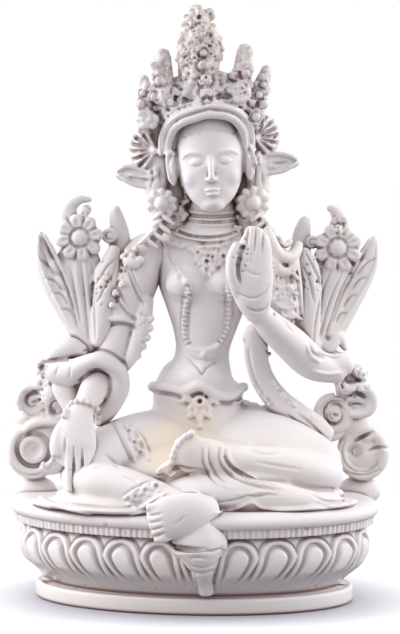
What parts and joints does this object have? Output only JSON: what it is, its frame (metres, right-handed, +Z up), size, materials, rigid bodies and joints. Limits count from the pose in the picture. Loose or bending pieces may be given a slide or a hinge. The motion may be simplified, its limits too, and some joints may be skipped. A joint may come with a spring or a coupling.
{
  "type": "tara figure",
  "caption": "Seated Tara with a lowered and a raised hand on a lotus seat, lotus sprays at the shoulders and a tall crown, cast together with its oval plinth in unpainted stone resin.",
  "frame": {"origin": "middle of the plinth's flat underside", "axes": "+Z up to the crown's tip, the figure faces -Y, +X to the right of a person who looks at its face"},
  "size_m": [0.0989, 0.0673, 0.1497],
  "materials": {
    "casting": "raw cast resin filled with stone powder, matte, off-white, with air-bubble pinholes"
  },
  "bodies": {
    "root": {"tara_figure": "casting"}
  },
  "joints": []
}
